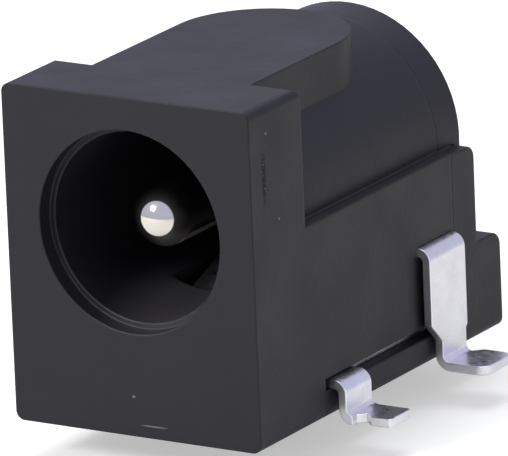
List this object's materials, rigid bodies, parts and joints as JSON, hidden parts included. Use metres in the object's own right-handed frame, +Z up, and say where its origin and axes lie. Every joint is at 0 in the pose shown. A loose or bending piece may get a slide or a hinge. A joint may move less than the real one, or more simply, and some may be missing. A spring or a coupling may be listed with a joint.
{
  "type": "dc barrel jack",
  "caption": "Surface-mount DC power socket: square moulded bezel, round barrel with a flat top, centre pin, bent tinned side feet and locating pegs below.",
  "frame": {"origin": "on the axis of the front locating peg, in the plane of the board face that the four feet stand on", "axes": "+Z up from the board, +Y the way the plug is pushed in so the mouth faces -Y, +X to the right as seen from the mouth"},
  "size_m": [0.013, 0.0149, 0.0123],
  "materials": {
    "moulding": "moulded black plastic, fine satin texture",
    "pin_plating": "turned brass, nickel plated and polished",
    "tinned_strip": "spring copper alloy strip, bright tin plated"
  },
  "bodies": {
    "root": {"housing": "moulding", "rear_insert": "moulding", "center_pin": "pin_plating", "pin_terminal": "tinned_strip", "sleeve_spring": "tinned_strip", "shunt_contact": "tinned_strip"}
  },
  "joints": []
}
